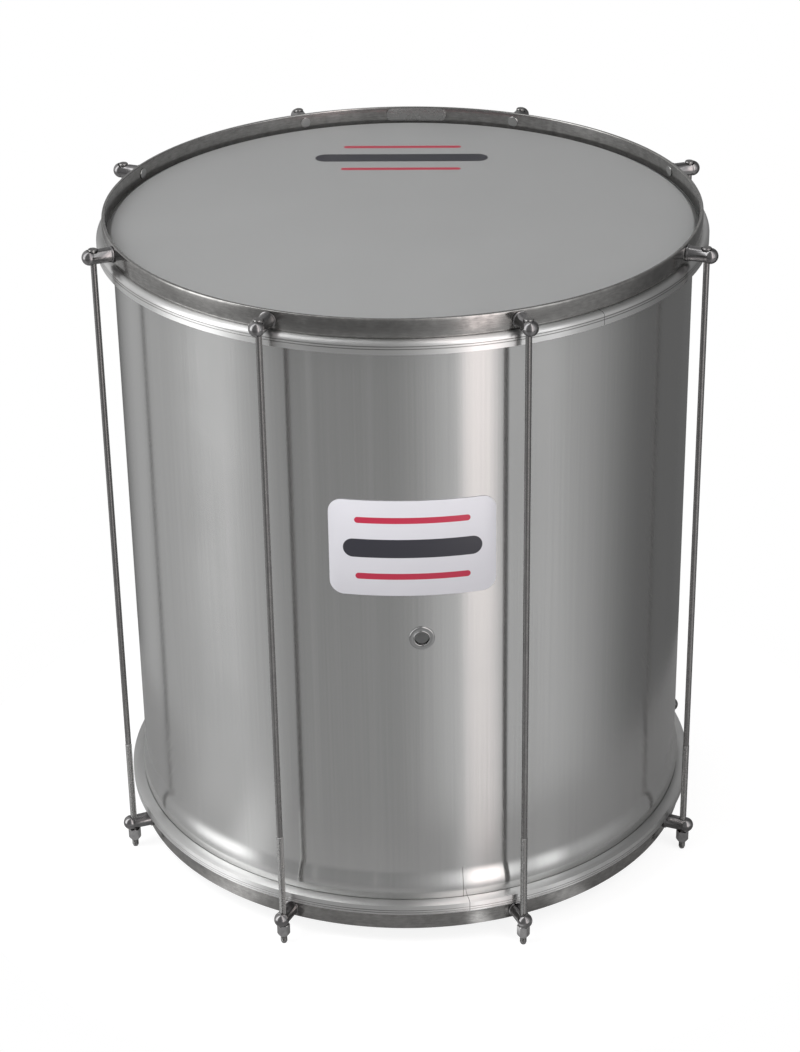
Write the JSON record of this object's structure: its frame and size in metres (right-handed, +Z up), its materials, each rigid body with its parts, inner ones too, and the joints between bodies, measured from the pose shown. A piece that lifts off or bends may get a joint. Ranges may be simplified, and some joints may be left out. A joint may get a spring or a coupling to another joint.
{
  "type": "surdo drum",
  "caption": "Deep aluminium drum with a film head at each end, flat steel hoops, and long tension rods held by stud lugs.",
  "frame": {"origin": "centre of the drum's axis at the level of the rod tips, where the drum stands", "axes": "+Z up the drum's axis toward the playing head, front toward -Y, +X to the viewer's right"},
  "size_m": [0.5346, 0.5346, 0.6032],
  "materials": {
    "shell": "satin rolled sheet",
    "vent_eyelet": "plated",
    "blank_label": "satin film",
    "top_head": "satin film",
    "bottom_head": "satin film",
    "top_flesh_hoop": "bright",
    "bottom_flesh_hoop": "bright",
    "top_counterhoop": "plated",
    "bottom_counterhoop": "plated",
    "top_joint_plate": "plated",
    "bottom_joint_plate": "plated",
    "top_lug": "plated",
    "bottom_lug": "plated",
    "tension_rod": "plated",
    "tension_nut": "plated"
  },
  "bodies": {
    "shell": {"shell": "shell", "vent_eyelet": "vent_eyelet", "blank_label": "blank_label"},
    "top_ring": {"top_counterhoop": "top_counterhoop", "top_joint_plate": "top_joint_plate", "top_flesh_hoop": "top_flesh_hoop", "top_head": "top_head", "top_head_rim": "top_head", "top_lug_1": "top_lug", "top_lug_2": "top_lug", "top_lug_3": "top_lug", "top_lug_4": "top_lug", "top_lug_5": "top_lug", "top_lug_6": "top_lug", "top_lug_7": "top_lug", "top_lug_8": "top_lug", "tension_rod_1": "tension_rod", "tension_rod_2": "tension_rod", "tension_rod_3": "tension_rod", "tension_rod_4": "tension_rod", "tension_rod_5": "tension_rod", "tension_rod_6": "tension_rod", "tension_rod_7": "tension_rod", "tension_rod_8": "tension_rod"},
    "bottom_ring": {"bottom_counterhoop": "bottom_counterhoop", "bottom_joint_plate": "bottom_joint_plate", "bottom_flesh_hoop": "bottom_flesh_hoop", "bottom_head": "bottom_head", "bottom_head_rim": "bottom_head", "bottom_lug_1": "bottom_lug", "bottom_lug_2": "bottom_lug", "bottom_lug_3": "bottom_lug", "bottom_lug_4": "bottom_lug", "bottom_lug_5": "bottom_lug", "bottom_lug_6": "bottom_lug", "bottom_lug_7": "bottom_lug", "bottom_lug_8": "bottom_lug"},
    "nut_1": {"tension_nut_1": "tension_nut"},
    "nut_2": {"tension_nut_2": "tension_nut"},
    "nut_3": {"tension_nut_3": "tension_nut"},
    "nut_4": {"tension_nut_4": "tension_nut"},
    "nut_5": {"tension_nut_5": "tension_nut"},
    "nut_6": {"tension_nut_6": "tension_nut"},
    "nut_7": {"tension_nut_7": "tension_nut"},
    "nut_8": {"tension_nut_8": "tension_nut"}
  },
  "joints": [
    {"name": "top_ring_slide", "type": "slide", "parent": "shell", "child": "top_ring", "axis": [0, 0, 1], "range_m": [0, 0.0035]},
    {"name": "bottom_ring_slide", "type": "slide", "parent": "shell", "child": "bottom_ring", "axis": [0, 0, -1], "range_m": [0, 0.0035]},
    {"name": "nut_1_turn", "type": "hinge", "parent": "bottom_ring", "child": "nut_1", "pos_m": [0.10658, -0.2573, 0.0134], "axis": [0, 0, -1], "range_deg": [0, 2521]},
    {"name": "nut_2_turn", "type": "hinge", "parent": "bottom_ring", "child": "nut_2", "pos_m": [0.2573, -0.10658, 0.0134], "axis": [0, 0, -1], "range_deg": [0, 2521]},
    {"name": "nut_3_turn", "type": "hinge", "parent": "bottom_ring", "child": "nut_3", "pos_m": [0.2573, 0.10658, 0.0134], "axis": [0, 0, -1], "range_deg": [0, 2521]},
    {"name": "nut_4_turn", "type": "hinge", "parent": "bottom_ring", "child": "nut_4", "pos_m": [0.10658, 0.2573, 0.0134], "axis": [0, 0, -1], "range_deg": [0, 2521]},
    {"name": "nut_5_turn", "type": "hinge", "parent": "bottom_ring", "child": "nut_5", "pos_m": [-0.10658, 0.2573, 0.0134], "axis": [0, 0, -1], "range_deg": [0, 2521]},
    {"name": "nut_6_turn", "type": "hinge", "parent": "bottom_ring", "child": "nut_6", "pos_m": [-0.2573, 0.10658, 0.0134], "axis": [0, 0, -1], "range_deg": [0, 2521]},
    {"name": "nut_7_turn", "type": "hinge", "parent": "bottom_ring", "child": "nut_7", "pos_m": [-0.2573, -0.10658, 0.0134], "axis": [0, 0, -1], "range_deg": [0, 2521]},
    {"name": "nut_8_turn", "type": "hinge", "parent": "bottom_ring", "child": "nut_8", "pos_m": [-0.10658, -0.2573, 0.0134], "axis": [0, 0, -1], "range_deg": [0, 2521]}
  ],
  "couplings": [
    {"joint": "bottom_ring_slide", "follows": "top_ring_slide", "ratio": 1},
    {"joint": "nut_1_turn", "follows": "top_ring_slide", "rad_per_m": 12566},
    {"joint": "nut_2_turn", "follows": "top_ring_slide", "rad_per_m": 12566},
    {"joint": "nut_3_turn", "follows": "top_ring_slide", "rad_per_m": 12566},
    {"joint": "nut_4_turn", "follows": "top_ring_slide", "rad_per_m": 12566},
    {"joint": "nut_5_turn", "follows": "top_ring_slide", "rad_per_m": 12566},
    {"joint": "nut_6_turn", "follows": "top_ring_slide", "rad_per_m": 12566},
    {"joint": "nut_7_turn", "follows": "top_ring_slide", "rad_per_m": 12566},
    {"joint": "nut_8_turn", "follows": "top_ring_slide", "rad_per_m": 12566}
  ]
}
